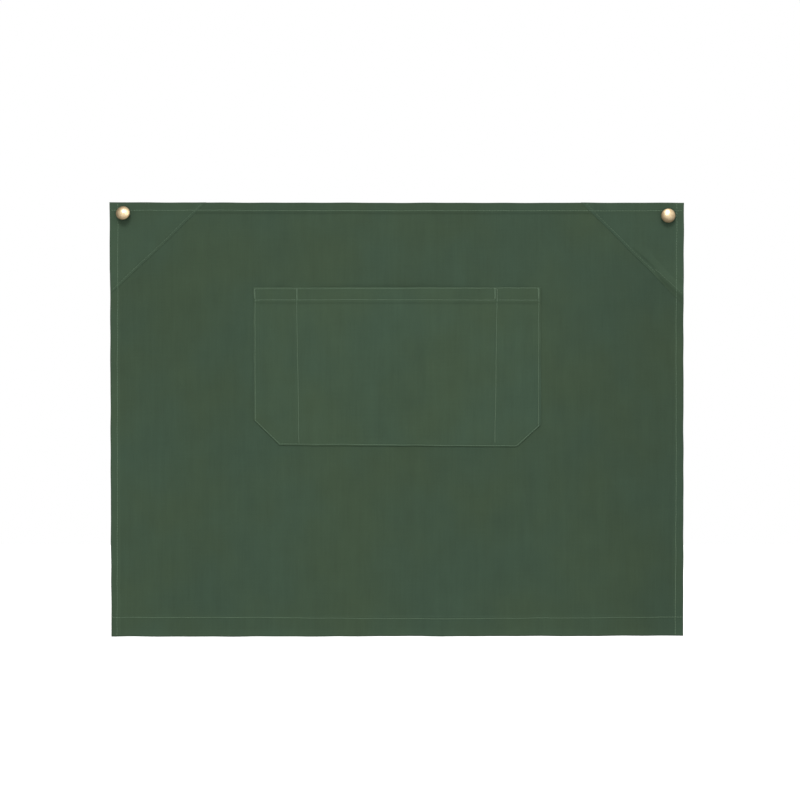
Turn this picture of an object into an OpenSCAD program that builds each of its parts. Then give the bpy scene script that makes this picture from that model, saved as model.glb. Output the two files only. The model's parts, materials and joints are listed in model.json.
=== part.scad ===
// Waist apron panel with a three-part front pocket, two corner patches
// and a swivelling metal button at each top corner.
//
// The cloth hangs in the XZ plane. +Z is up, the front faces -Y, and the
// origin is the middle of the top edge on the front face of the cloth.
// Every length is in millimetres.

/* [Apron] */
// Width of the apron, edge to edge
apron_w = 600; // [560:10:700]
// Height of the apron, top edge to bottom edge
apron_h = 454; // [420:2:560]
// Thickness of one layer of cloth
cloth_t = 0.5; // [0.4:0.05:0.6]
// Width of the folded hem along the top
top_hem_w = 10; // [9:0.5:12]
// Width of the folded hem down each side
side_hem_w = 9.5; // [9:0.5:12]
// Width of the folded hem along the bottom
bottom_hem_w = 21; // [20:0.5:26]

/* [Seams] */
// Distance of the top hem seam from the top edge
top_seam = 8; // [7:0.5:9]
// Distance of the left hem seam from the left edge
left_seam = 7.1; // [6.6:0.1:8]
// Distance of the right hem seam from the right edge
right_seam = 7.7; // [6.6:0.1:8]
// Distance of the bottom hem seam from the bottom edge
bottom_seam = 19.5; // [18:0.5:20]
// Width and height of the sewing thread as it lies on the cloth
thread_d = 0.4; // [0.3:0.05:0.5]

/* [Corner patches] */
// Left patch, length along the top edge
left_patch_top = 100.8; // [80:0.1:112]
// Left patch, length down the side
left_patch_side = 94.6; // [80:0.1:112]
// Right patch, length along the top edge
right_patch_top = 107.5; // [80:0.1:112]
// Right patch, length down the side
right_patch_side = 106; // [80:0.1:112]
// Distance of the right patch's seam from its folded edge at the foot
right_patch_foot = 5.8; // [1.8:0.1:6.5]
// Width of the turned-under edge of a patch or of the pocket
turn_w = 8; // [6:0.5:10]
// Distance of a patch's or the pocket's seam from its folded edge
edge_seam = 1.9; // [1.5:0.1:2.5]

/* [Pocket] */
// Width of the pocket
pocket_w = 300.6; // [280:0.2:320]
// Pocket centre, to the right of the apron's centre
pocket_x = 0.25; // [-5:0.25:5]
// Depth of the pocket's mouth below the top edge of the apron
pocket_drop = 88; // [80:1:110]
// Height of the pocket at its left side
pocket_h = 166.3; // [150:0.1:180]
// How much lower the pocket's bottom edge runs at its right side
pocket_slope = 1.4; // [0:0.1:3]
// Width of the hem at the pocket's mouth
mouth_hem_w = 16; // [14:1:20]
// Distance of the hem's inner seam from the mouth
mouth_seam = 13.2; // [12:0.1:14]
// Cut corner at the lower left, along each edge
left_cut = 26.7; // [15:0.1:32]
// Cut corner at the lower right, along the bottom edge
right_cut = 25.3; // [15:0.1:32]
// Left divider seam, from the apron's centre, at the mouth
left_divider = 105.3; // [90:0.1:115]
// Right divider seam, from the apron's centre, at the mouth
right_divider = 104.8; // [90:0.1:115]
// How far each divider leans towards the centre at its foot
divider_lean = 2.3; // [0:0.1:4]
// How far the mouth of the middle pocket stands open
middle_gape = 6.2; // [5.5:0.1:8]
// How far the mouths of the side slots stand open
slot_gape = 2.2; // [1:0.1:3]

/* [Buttons] */
// Left button, distance from the left edge
left_button_in = 13; // [12:0.5:16]
// Left button, distance below the top edge
left_button_down = 10.5; // [10:0.5:14]
// Right button, distance from the right edge
right_button_in = 16; // [12:0.5:18]
// Right button, distance below the top edge
right_button_down = 13.5; // [12.5:0.5:14]
// Radius of a button head
head_r = 7.5; // [7:0.1:8]
// Height of the domed face above its rim
dome_h = 3; // [2.8:0.1:3.3]
// Height of the head's pivot above the cloth
pivot_h = 5; // [4.9:0.1:6]
// How far the left head is stored tilted over
left_tilt = 18; // [0:1:18]
// Direction of the left head's tilt axis, turned from the top edge
left_tilt_dir = 20; // [0:5:45]
// Radius of the tack's flat head behind the cloth
tack_r = 4.5; // [4:0.1:4.6]

/* [Hidden] */

cloth_col = [0.255, 0.33, 0.26];
pocket_col = [0.27, 0.345, 0.27];
thread_col = [0.33, 0.42, 0.33];
brass_col = [0.84, 0.72, 0.52];
core_col = [0.75, 0.76, 0.77];
tack_col = [0.78, 0.66, 0.46];

hw = apron_w / 2;
lift = 0.03;                       // thread stands this far off the cloth
px0 = pocket_x - pocket_w / 2;     // pocket, left edge
px1 = pocket_x + pocket_w / 2;     // pocket, right edge
pzt = -pocket_drop;                // pocket, mouth
pzl = pzt - pocket_h;              // pocket, bottom edge at the left
left_cut_z = pzl + left_cut;       // height where the left cut corner starts
right_cut_h = right_cut * 0.905;   // the right corner is cut a little flatter
sewn_w = 2;                        // width held flat under a divider seam
blx = -hw + left_button_in;        // left button axis
blz = -left_button_down;
brx = hw - right_button_in;        // right button axis
brz = -right_button_down;

// The rounded face of the head, a part of a ball
dome_R = (head_r * head_r + dome_h * dome_h) / (2 * dome_h);
rim_top = -0.3;                    // heights in a head are from its pivot
rim_low = -2.1;
dome_c = rim_top + dome_h - dome_R;
sheet = 0.35;                      // metal thickness of the cap
cavity_h = 1.45;                   // depth of the space the neck's flange rocks in, below the pivot
cavity_top = 1.35;                 // and above it
cavity_r = 3.55;
nail_r = 1.45;
hole_r = 1.6;

function lerp(a, b, t) = a + (b - a) * t;
function clamp01(t) = min(1, max(0, t));

// Bottom edge of the pocket at x, with its two cut corners
function pocket_base(x) = max(
  lerp(pzl, pzl - pocket_slope, (x - px0) / pocket_w),
  left_cut_z - (x - px0),
  pzl - pocket_slope + right_cut_h - (px1 - x) * 0.905);

// How far down the pocket a point is, 0 at the mouth and 1 at the bottom
function pocket_v(x, z) = clamp01((pzt - z) / (pzt - pocket_base(x) - turn_w / 2));
function div_l(z) = -left_divider + divider_lean * clamp01((pzt - z) / pocket_h);
function div_r(z) = right_divider - divider_lean * clamp01((pzt - z) / pocket_h);

// How far the pocket's cloth stands off the apron
function stand_off(x, z) =
  let (l = div_l(z), r = div_r(z), a = px0 + turn_w / 2, b = px1 - turn_w / 2, f = sewn_w / 2,
       s = x < l ? (x - a) / (l - f - a) : x < r ? (x - l - f) / (r - l - 2 * f) : (x - r - f) / (b - r - f),
       h = x < l ? slot_gape : x < r ? middle_gape : slot_gape)
  h * sqrt(sin(180 * clamp01(s))) * sqrt(cos(90 * pocket_v(x, z)));

// Layers of cloth in the pocket: three in the hem, two at the turned-under edge, one between
function pocket_layers(x, z) =
  z > pzt - mouth_hem_w ? 3 :
  (x < px0 + turn_w || x > px1 - turn_w || z < pocket_base(x) + turn_w) ? 2 : 1;
function in_pocket(x, z) = x >= px0 && x <= px1 && z <= pzt && z >= pocket_base(x);
function pocket_front(x, z) = -(stand_off(x, z) + pocket_layers(x, z) * cloth_t);

// Distance inside a patch's folded edge, less than 0 outside it
function in_left(x, z) = (-(x + hw - left_patch_top) * left_patch_side + z * left_patch_top)
  / norm([left_patch_side, left_patch_top]);
function in_right(x, z) = ((x - hw + right_patch_top) * right_patch_side + z * right_patch_top)
  / norm([right_patch_side, right_patch_top]);

// Front surface of the cloth at any point
function front(x, z) =
  in_pocket(x, z) ? pocket_front(x, z) :
  let (s = max(in_left(x, z), in_right(x, z)))
  s > turn_w ? -cloth_t : s > 0 ? -2 * cloth_t : 0;

// Points of a seam from p to q, each as [x, y, z] on the outermost cloth beside it
function seam(p, q, n) = [for (i = [0 : n])
  let (a = lerp(p, q, max(0, i - 1) / n), b = lerp(p, q, i / n), c = lerp(p, q, min(n, i + 1) / n))
  [b[0], min(front(a[0], a[1]), front(b[0], b[1]), front(c[0], c[1])), b[1]]];

// A run of thread along the points, w wide
module run(pts, w = thread_d) {
  n = len(pts);
  dirs = [for (i = [0 : n - 1]) let (a = pts[max(0, i - 1)], b = pts[min(n - 1, i + 1)],
    d = [b[0] - a[0], b[2] - a[2]]) d / norm(d)];
  ring = [for (i = [0 : n - 1]) let (s = [-dirs[i][1], dirs[i][0]] * w / 2, p = pts[i])
    for (k = [[1, -lift], [1, -thread_d], [-1, -thread_d], [-1, -lift]])
      [p[0] + s[0] * k[0], p[1] + k[1], p[2] + s[1] * k[0]]];
  polyhedron(ring, concat(
    [[3, 2, 1, 0]],
    [[for (k = [0 : 3]) 4 * (n - 1) + k]],
    [for (i = [0 : n - 2]) for (k = [0 : 3]) for (f = [0, 1])
      let (a = 4 * i + k, b = 4 * i + (k + 1) % 4)
      f == 0 ? [a, b, b + 4] : [a, b + 4, a + 4]]), convexity = 6);
}

// Flat cloth: a plan in X and Z, from the front face y0 back towards +Y
module layer(y0, t) { translate([0, y0 + t, 0]) rotate([90, 0, 0]) linear_extrude(t) children(); }

// Puts a button's own geometry in place, its +Z pointing out of the front
module at_left() { translate([blx, -cloth_t - pivot_h, blz]) rotate([90, 0, 0]) children(); }
module at_left_head() {
  translate([blx, -cloth_t - pivot_h, blz])
    rotate(a = -left_tilt, v = [cos(left_tilt_dir), 0, sin(left_tilt_dir)])
      rotate([90, 0, 0]) children();
}
module at_right() { translate([brx, -cloth_t - pivot_h, brz]) rotate([90, 0, 0]) children(); }

module nail_holes() {
  for (p = [[blx, blz], [brx, brz]])
    translate([p[0], 5, p[1]]) rotate([90, 0, 0]) cylinder(r = hole_r, h = 10, $fn = 48);
}

module apron_panel() {
  color(cloth_col) difference() {
    union() {
      layer(0, cloth_t) translate([-hw, -apron_h]) square([apron_w, apron_h]);
      // hems, folded twice to the back
      layer(cloth_t, 2 * cloth_t) difference() {
        translate([-hw, -apron_h]) square([apron_w, apron_h]);
        translate([-hw + side_hem_w, -apron_h + bottom_hem_w])
          square([apron_w - 2 * side_hem_w, apron_h - top_hem_w - bottom_hem_w]);
      }
    }
    nail_holes();
    // the hem is pressed down under each tack
    for (p = [[blx, blz], [brx, brz]])
      translate([p[0], cloth_t + 4, p[1]]) rotate([90, 0, 0]) cylinder(r = tack_r + 0.4, h = 4, $fn = 64);
  }
}

module pocket() {
  slot_n = 6; mid_n = 20; hem_n = 2; body_n = 9; base_n = 4;
  zlow = pzl + 36;
  f = sewn_w / 2;
  nx = 2 * (slot_n + 2) + mid_n + 1;
  // columns: an edge, a side slot, the middle pocket, a side slot, an edge
  function col_x(i, z) =
    i == 0 ? px0 : i == nx - 1 ? px1 :
    i <= slot_n + 1 ? lerp(px0 + turn_w / 2, div_l(z) - f, (i - 1) / slot_n) :
    i <= slot_n + 2 + mid_n ? lerp(div_l(z) + f, div_r(z) - f, (i - slot_n - 2) / mid_n) :
    lerp(div_r(z) + f, px1 - turn_w / 2, (i - slot_n - 3 - mid_n) / slot_n);
  zs = concat([for (j = [0 : hem_n - 1]) pzt - (mouth_hem_w - 0.01) * j / (hem_n - 1)],
    [for (j = [0 : body_n]) lerp(pzt - mouth_hem_w - 0.6, zlow, j / body_n)]);
  nz = len(zs) + base_n;
  function row_z(j, x) = j < len(zs) ? zs[j] : j == nz - 1 ? pocket_base(x) :
    lerp(zlow, pocket_base(x) + turn_w / 2, (j - len(zs) + 1) / (base_n - 1));
  grid = [for (j = [0 : nz - 1]) for (i = [0 : nx - 1])
    let (x = col_x(i, row_z(j, col_x(i, zlow)))) [x, row_z(j, x)]];
  outer = [for (p = grid) [p[0], pocket_front(p[0], p[1]), p[1]]];
  inner = [for (p = grid) [p[0], -stand_off(p[0], p[1]), p[1]]];
  m = nx * nz;
  faces = concat(
    [for (j = [0 : nz - 2]) for (i = [0 : nx - 2]) for (f = [0, 1])
      let (a = j * nx + i) f == 0 ? [a, a + 1, a + nx + 1] : [a, a + nx + 1, a + nx]],
    [for (j = [0 : nz - 2]) for (i = [0 : nx - 2]) for (f = [0, 1])
      let (a = m + j * nx + i) f == 0 ? [a, a + nx + 1, a + 1] : [a, a + nx, a + nx + 1]],
    [for (i = [0 : nx - 2]) for (f = [0, 1]) f == 0 ? [i, m + i, m + i + 1] : [i, m + i + 1, i + 1]],
    [for (i = [0 : nx - 2]) for (f = [0, 1]) let (a = (nz - 1) * nx + i)
      f == 0 ? [a, m + a + 1, m + a] : [a, a + 1, m + a + 1]],
    [for (j = [0 : nz - 2]) for (f = [0, 1]) let (a = j * nx)
      f == 0 ? [a, a + nx, m + a + nx] : [a, m + a + nx, m + a]],
    [for (j = [0 : nz - 2]) for (f = [0, 1]) let (a = j * nx + nx - 1)
      f == 0 ? [a, m + a + nx, a + nx] : [a, m + a, m + a + nx]]);
  color(pocket_col) polyhedron(concat(outer, inner), faces, convexity = 8);
}

// A patch is one layer, with its slanting edge turned under
module patch_plan(sx, top, side) { polygon([[sx * hw, 0], [sx * (hw - top), 0], [sx * hw, -side]]); }
module strip_plan(sx, top, side) {
  c = turn_w * norm([top, side]);
  // the band of width turn_w inside the slanting edge
  polygon([[sx * (hw - top), 0], [sx * hw, -side], [sx * hw, -side + c / top], [sx * (hw - top + c / side), 0]]);
}

module left_corner_patch() {
  color(cloth_col) difference() {
    union() {
      layer(-cloth_t, cloth_t) patch_plan(-1, left_patch_top, left_patch_side);
      layer(-2 * cloth_t, cloth_t) strip_plan(-1, left_patch_top, left_patch_side);
    }
    nail_holes();
  }
}

module right_corner_patch() {
  color(cloth_col) difference() {
    union() {
      layer(-cloth_t, cloth_t) patch_plan(1, right_patch_top, right_patch_side);
      layer(-2 * cloth_t, cloth_t) strip_plan(1, right_patch_top, right_patch_side);
    }
    nail_holes();
  }
}

module top_hem_stitching() {
  color(thread_col) {
    run(seam([-hw + 0.5, -top_seam], [blx - 4.3, -top_seam], 1));
    run(seam([blx + 4.3, -top_seam], [hw - 0.5, -top_seam], 80));
  }
}
module left_hem_stitching() {
  color(thread_col)
    run(seam([-hw + left_seam, -top_seam - 0.6], [-hw + left_seam, -apron_h + bottom_seam + 0.6], 72));
}
module right_hem_stitching() {
  color(thread_col)
    run(seam([hw - right_seam, -top_seam - 0.6], [hw - right_seam, -apron_h + bottom_seam + 0.6], 72));
}
module bottom_hem_stitching() {
  color(thread_col)
    run(seam([-hw + 0.5, -apron_h + bottom_seam], [hw - 0.5, -apron_h + bottom_seam], 2));
}

// A seam along a patch's slanting edge, between the top and side hem seams,
// foot in from the folded edge at its lower end
module patch_seam(sx, top, side, side_in, foot) {
  n = norm([top, side]);
  a = [hw - top + edge_seam * n / side, 0];
  b = [hw, -side + foot * n / top];
  // the seam meets a level line below the top seam and an upright line inside the side seam
  p = lerp(a, b, (top_seam + 0.6) / -b[1]);
  q = lerp(a, b, 1 - (side_in + 0.6) / (b[0] - a[0]));
  color(thread_col) run(seam([sx * p[0], p[1]], [sx * q[0], q[1]], 2));
}
module left_patch_stitching() { patch_seam(-1, left_patch_top, left_patch_side, left_seam, edge_seam); }
module right_patch_stitching() { patch_seam(1, right_patch_top, right_patch_side, right_seam, right_patch_foot); }

module pocket_mouth_edge_stitching() {
  color(thread_col) run(seam([px0 + 1.6, pzt - 1.5], [px1 - 1.6, pzt - 1.5], 60));
}
module pocket_mouth_hem_stitching() {
  color(thread_col) run(seam([px0 + 1.6, pzt - mouth_seam], [px1 - 1.6, pzt - mouth_seam], 60));
}
module pocket_edge_stitching() {
  e = edge_seam;
  z0 = pzt - mouth_seam - 1;
  c = e * 0.41;
  l1 = [px0 + e, left_cut_z - c];
  l2 = [px0 + left_cut + c, pzl + e];
  r1 = [px1 - e, pzl - pocket_slope + right_cut_h - c];
  r2 = [px1 - right_cut - c, pzl - pocket_slope + e];
  color(thread_col) run(concat(
    seam([px0 + e, z0], l1, 10),
    [for (i = [1 : 2]) seam(l1, l2, 2)[i]],
    [for (i = [1 : 12]) seam(l2, r2, 12)[i]],
    [for (i = [1 : 2]) seam(r2, r1, 2)[i]],
    [for (i = [1 : 10]) seam(r1, [px1 - e, z0], 10)[i]]));
}
module divider_seam(side) {
  z0 = pzt - mouth_seam - 1;
  z1 = pzl + 3;
  n = 24;
  pts = [for (i = [0 : n]) let (z = lerp(z0, z1, i / n)) [side < 0 ? div_l(z) : div_r(z), z]];
  color(thread_col) run([for (i = [0 : n]) [pts[i][0],
    min(front(pts[i][0], pts[max(0, i - 1)][1]), front(pts[i][0], pts[i][1]),
        front(pts[i][0], pts[min(n, i + 1)][1])), pts[i][1]]]);
}
module left_divider_stitching() { divider_seam(-1); }
module right_divider_stitching() { divider_seam(1); }

module pocket_bartacks() {
  za = pzt - 2.4;
  zb = pzt - mouth_seam + 0.8;
  color(thread_col) for (x = [px0 + 1.6, div_l(pzt - 6), div_r(pzt - 6), px1 - 1.6])
    run(seam([x, za], [x, zb], 2), 1.1);
}

// Button parts, drawn about the head's pivot with +Z outwards
module cap_shape() {
  difference() {
    intersection() {
      translate([0, 0, dome_c]) sphere(r = dome_R, $fn = 128);
      translate([0, 0, rim_low]) cylinder(r = head_r, h = dome_h + 4, $fn = 128);
    }
    intersection() {
      translate([0, 0, dome_c]) sphere(r = dome_R - sheet, $fn = 128);
      translate([0, 0, rim_low + 0.25]) cylinder(r = head_r - sheet, h = dome_h + 4, $fn = 128);
    }
    translate([0, 0, rim_low - 1]) cylinder(r = head_r - 1.2, h = 2, $fn = 96);
  }
}
module core_shape() {
  difference() {
    intersection() {
      translate([0, 0, dome_c]) sphere(r = dome_R - sheet - 0.05, $fn = 128);
      translate([0, 0, -cavity_h + 0.02]) cylinder(r = head_r - sheet - 0.1, h = dome_h + 4, $fn = 96);
    }
    translate([0, 0, -cavity_h - 1]) cylinder(r = cavity_r, h = cavity_h + 1 + cavity_top, $fn = 64);
  }
}
module back_plate_shape() {
  difference() {
    translate([0, 0, rim_low + 0.27]) cylinder(r = head_r - sheet - 0.05, h = 0.38, $fn = 96);
    translate([0, 0, rim_low - 1]) cylinder(r = 2.95, h = 3, $fn = 64);
  }
}
module shank_shape() {
  difference() {
    union() {
      translate([0, 0, -pivot_h + 0.1]) cylinder(r = 3.8, h = 0.4, $fn = 64);
      translate([0, 0, -pivot_h + 0.1]) cylinder(r = 2, h = pivot_h - 0.1, $fn = 64);
      translate([0, 0, -0.25]) cylinder(r = 3.3, h = 0.5, $fn = 64);
    }
    translate([0, 0, -pivot_h - 1]) cylinder(r = nail_r + 0.05, h = pivot_h + 0.4, $fn = 48);
  }
}
module tack_shape() {
  back = -pivot_h - 2 * cloth_t;
  union() {
    translate([0, 0, back - 0.1 - 0.5]) cylinder(r = tack_r, h = 0.5, $fn = 64);
    translate([0, 0, back - 0.1 - 0.8]) cylinder(r1 = tack_r - 0.9, r2 = tack_r, h = 0.3, $fn = 64);
    translate([0, 0, back - 0.2]) cylinder(r = nail_r, h = pivot_h + 2 * cloth_t + 0.2 - 1.9, $fn = 48);
    translate([0, 0, -1.9]) cylinder(r1 = nail_r, r2 = 0.4, h = 0.9, $fn = 48);
  }
}

module left_button_cap() { color(brass_col) at_left_head() cap_shape(); }
module left_button_core() { color(core_col) at_left_head() core_shape(); }
module left_button_back_plate() { color(brass_col) at_left_head() back_plate_shape(); }
module left_button_shank() { color(brass_col) at_left() shank_shape(); }
module left_button_tack() { color(tack_col) at_left() tack_shape(); }
module right_button_cap() { color(brass_col) at_right() cap_shape(); }
module right_button_core() { color(core_col) at_right() core_shape(); }
module right_button_back_plate() { color(brass_col) at_right() back_plate_shape(); }
module right_button_shank() { color(brass_col) at_right() shank_shape(); }
module right_button_tack() { color(tack_col) at_right() tack_shape(); }

apron_panel();
pocket();
left_corner_patch();
right_corner_patch();
top_hem_stitching();
left_hem_stitching();
right_hem_stitching();
bottom_hem_stitching();
left_patch_stitching();
right_patch_stitching();
pocket_mouth_edge_stitching();
pocket_mouth_hem_stitching();
pocket_edge_stitching();
left_divider_stitching();
right_divider_stitching();
pocket_bartacks();
left_button_cap();
left_button_core();
left_button_back_plate();
left_button_shank();
left_button_tack();
right_button_cap();
right_button_core();
right_button_back_plate();
right_button_shank();
right_button_tack();
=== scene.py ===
"""Looks of the waist apron: cloth panel, divided pocket, corner patches, seams and two brass buttons.

Lengths inside the shape functions are in millimetres, in the CAD frame: X to the right, Z up, the
front facing -Y, and the origin at the middle of the top edge. Meshes are made in metres.
"""
import json
import math

import bpy
import numpy as np
from mathutils import Matrix, Vector


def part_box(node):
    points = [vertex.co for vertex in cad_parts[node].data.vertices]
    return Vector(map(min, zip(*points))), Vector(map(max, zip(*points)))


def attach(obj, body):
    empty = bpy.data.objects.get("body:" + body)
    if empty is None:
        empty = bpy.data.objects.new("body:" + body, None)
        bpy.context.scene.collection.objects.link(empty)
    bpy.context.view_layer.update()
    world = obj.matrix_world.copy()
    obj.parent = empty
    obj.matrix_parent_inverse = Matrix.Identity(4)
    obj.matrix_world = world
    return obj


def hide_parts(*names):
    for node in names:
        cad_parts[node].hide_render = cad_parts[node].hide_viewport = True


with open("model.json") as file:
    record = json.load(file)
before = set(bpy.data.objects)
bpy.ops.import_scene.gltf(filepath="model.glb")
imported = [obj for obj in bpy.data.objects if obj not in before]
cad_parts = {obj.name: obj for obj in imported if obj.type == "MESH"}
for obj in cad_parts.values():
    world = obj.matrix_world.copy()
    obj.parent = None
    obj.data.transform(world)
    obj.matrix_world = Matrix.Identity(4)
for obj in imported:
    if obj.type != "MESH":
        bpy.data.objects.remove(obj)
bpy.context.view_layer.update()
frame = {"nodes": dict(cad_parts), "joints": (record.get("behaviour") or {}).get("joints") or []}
MM = 0.001
TAU = 2 * math.pi


def mm_box(node):
    lo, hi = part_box(node)
    return np.array(lo) * 1000, np.array(hi) * 1000


# ---------------------------------------------------------------- sizes, from the CAD
p_lo, p_hi = mm_box("apron_panel")
HW, H = p_hi[0], -p_lo[2]
k_lo, k_hi = mm_box("pocket")
PX0, PX1, PZT, PZB = k_lo[0], k_hi[0], k_hi[2] - 0.6, k_lo[2]
PSLOPE = 2.1
PZL = PZB + 1.7
CUT_L, CUT_R, CUT_R_K = 26.7, 25.3, 0.905
T = 0.5
TURN = 8.0
TOP_SEAM, LEFT_SEAM, RIGHT_SEAM, BOTTOM_SEAM = 8.35, 7.1, 7.7, 19.5
TOP_HEM, SIDE_HEM, BOTTOM_HEM = 10.0, 9.5, 21.0
EDGE_SEAM = 1.9
MOUTH_HEM, MOUTH_SEAM = 16.0, 13.2
DIV_L, DIV_R, DIV_LEAN = 105.0, 104.8, 2.3
l_lo, l_hi = mm_box("left_corner_patch")
r_lo, r_hi = mm_box("right_corner_patch")
PATCH = {-1: (l_hi[0] - l_lo[0], -l_lo[2]), 1: (r_hi[0] - r_lo[0], -r_lo[2])}
joint = {j["name"]: j for j in frame["joints"]}
LB = np.array(joint["left_button_tilt"]["pos_m"]) * 1000
RB = np.array(joint["right_button_tilt"]["pos_m"]) * 1000


# ---------------------------------------------------------------- small tools
def sstep(a, b, t):
    t = np.clip((t - a) / (b - a), 0, 1)
    return t * t * (3 - 2 * t)


def roll(d, r):
    """A half-round folded edge: 0 at the edge itself, 1 at r inside it."""
    q = 1 - np.clip(d / r, 0, 1)
    return np.sqrt(np.maximum(0, 1 - q * q))


def ripple(s, seed, waves=(12.5, 16.7, 23.0, 37.0)):
    """A seeded uneven wave along s, from about -1 to 1."""
    rng = np.random.default_rng(seed)
    out = np.zeros_like(s, dtype=float)
    for w in waves:
        out += np.sin(TAU * s / (w * rng.uniform(0.92, 1.08)) + rng.uniform(0, TAU))
    return out / (0.62 * len(waves))


def bell(d, w):
    return np.exp(-((d / w) ** 2))


# ---------------------------------------------------------------- how the cloth lies
def button_clear(x, z, reach):
    """1 away from the buttons, 0 at them."""
    out = np.ones_like(x, dtype=float)
    for b in (LB, RB):
        out *= 1 - np.exp(-(((x - b[0]) ** 2 + (z - b[2]) ** 2) / reach**2) ** 1.5)
    return out


def wave(x, z):
    """How far back the whole cloth hangs: long soft folds that grow towards the hem."""
    d = np.clip(-z / H, 0, 1)
    grow = 0.30 + 0.70 * d
    w = grow * 1.15 * np.sin(TAU * (x + 38) / 262 + 0.9 * d)
    w += grow * 0.55 * np.sin(TAU * (x - 71) / 148 - 1.3 * d)
    w += 0.34 * np.sin(TAU * (x + 270) / 83 + 2.1 * d) * bell(x + 262, 52) * sstep(0.1, 0.4, d)
    w += 0.6 * np.sin(TAU * (0.55 * x + 0.9 * z) / 330 + 1.0)
    w += -1.7 * d**2 + 0.9 * np.sin(TAU * (d * 1.15 + 0.1)) * d
    w += 2.0 * sstep(235, 300, x) * (0.25 + 0.75 * d)
    w += 1.1 * sstep(255, 300, -x) * d
    w += 0.55 * bell(d - 0.98, 0.06) * np.sin(TAU * x / 118 + 0.5)
    # short unevenness of cloth that has been folded and pressed
    w += 0.10 * np.sin(TAU * (0.8 * x + 0.5 * z) / 47 + 1.4 * np.sin(z / 61)) * (0.4 + 0.6 * d)
    w += 0.08 * np.sin(TAU * (0.3 * x - 0.9 * z) / 39 + 1.7 * np.sin(x / 53))
    w += 0.06 * np.sin(TAU * x / 29 + 1.2 * np.sin(z / 34)) * np.sin(TAU * z / 171 + 0.7)
    # the bottom edge turns a little to the front
    w -= 0.75 * (1 - sstep(0, 9, z + H)) ** 1.5
    return w * button_clear(x, z, 46)


def edges(x, z):
    """Distances in from the left, right, top and bottom edges."""
    return x + HW, HW - x, -z, z + H


def left_seam(z):
    """The hem seams weren't run quite parallel to the edges."""
    return LEFT_SEAM + 1.4 - 2.3 * np.clip(-z / H, 0, 1)


def right_seam(z):
    return RIGHT_SEAM - 0.3 + 0.8 * np.clip(-z / H, 0, 1)


def bottom_seam(x):
    return BOTTOM_SEAM + 0.6 - 1.7 * bell((x + HW) / (2 * HW) - 0.62, 0.27)


def pucker(x, z):
    """Fine unevenness that the sewing leaves beside each hem seam."""
    l, r, t, b = edges(x, z)
    w = 0.085 * ripple(z, 3) * bell(l - LEFT_SEAM + 1, 7)
    w += 0.085 * ripple(z, 5) * bell(r - RIGHT_SEAM + 1, 7)
    w += 0.075 * ripple(x, 7) * bell(t - TOP_SEAM + 1, 7.5)
    w += 0.080 * ripple(x, 9) * bell(b - BOTTOM_SEAM + 4, 11)
    return w * button_clear(x, z, 9)


def patch_cover(x, z):
    """1 inside a corner patch, where its layer evens out the hem's step."""
    out = np.zeros_like(x, dtype=float)
    for side in (-1, 1):
        out = np.maximum(out, sstep(-3, 5, patch_s(side, x, z)[0]))
    return out


def proud(x, z):
    """The hems stand a little forward of the cloth between them."""
    l, r, t, b = edges(x, z)
    top = 0.62 * (1 - sstep(TOP_HEM - 0.6, TOP_HEM + 2.6, t)) * (1 - 0.72 * patch_cover(x, z))
    side = 0.12 * np.maximum(1 - sstep(SIDE_HEM - 1.5, SIDE_HEM + 2, l), 1 - sstep(SIDE_HEM - 1.5, SIDE_HEM + 2, r))
    low = 0.10 * (1 - sstep(BOTTOM_HEM - 1.5, BOTTOM_HEM + 2, b))
    return np.maximum(top, np.maximum(side, low)) * button_clear(x, z, 8)


def seam_dip(x, z):
    l, r, t, b = edges(x, z)
    m = np.maximum(bell(l - left_seam(z), 0.75), bell(r - right_seam(z), 0.75))
    return np.maximum(m, np.maximum(bell(t - TOP_SEAM, 0.75), bell(b - bottom_seam(x), 0.75)))


def panel_front(x, z):
    """Front face of the panel, before its edge rolls round."""
    return wave(x, z) + pucker(x, z) - proud(x, z) + 0.06 * seam_dip(x, z) * button_clear(x, z, 7)


def panel_thick(x, z, soft=0.16):
    """One layer, and two more in each hem."""
    l, r, t, b = edges(x, z)
    side = np.maximum(
        1 - sstep(SIDE_HEM - soft, SIDE_HEM + soft, l), 1 - sstep(SIDE_HEM - soft, SIDE_HEM + soft, r)
    )
    top = 1 - sstep(TOP_HEM - soft, TOP_HEM + soft, t)
    low = 1 - sstep(BOTTOM_HEM - soft, BOTTOM_HEM + soft, b)
    press = np.ones_like(x, dtype=float)
    for c in (LB, RB):
        d = np.hypot(x - c[0], z - c[2])
        press *= sstep(4.7, 6.6, d)
    extra = 2 * T * (side + np.maximum(top, low) - 0.35 * side * np.maximum(top, low))
    return T + extra * press - 0.16 * seam_dip(x, z) * press


def panel_sides(x, z):
    """Front and back faces with the outer edge rolled round."""
    l, r, t, b = edges(x, z)
    f = panel_front(x, z)
    th = panel_thick(x, z)
    back = f + th
    rho = roll(np.minimum(l, r), 0.7) * roll(np.minimum(t, b), 0.7)
    mid = (f + back) / 2
    return mid + (f - mid) * rho, mid + (back - mid) * rho


# patches --------------------------------------------------------
def patch_s(side, x, z):
    """Distance inside a patch's folded slanting edge, and the distance along it from its top end."""
    top, down = PATCH[side]
    n = math.hypot(top, down)
    u = side * x - (HW - top)
    return (u * down + z * top) / n, (u * top - z * down) / n


def patch_edge_wander(side, q):
    """How far the folded edge strays outwards from a straight line, along it."""
    k = q / math.hypot(*PATCH[side])
    if side < 0:
        return (0.4 + 1.1 * sstep(0.15, 0.5, k)) * sstep(0.0, 0.12, k) * (1 - 0.5 * sstep(0.9, 1.0, k))
    return -0.5 * bell(k - 0.27, 0.13) + 0.9 * bell(k - 0.86, 0.12)


def patch_seam_in(side, q):
    """How far inside the straight edge its seam runs, along it."""
    k = q / math.hypot(*PATCH[side])
    return 1.8 - 0.9 * sstep(0.2, 0.45, k) if side < 0 else 2.4 + 3.4 * k


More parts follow.
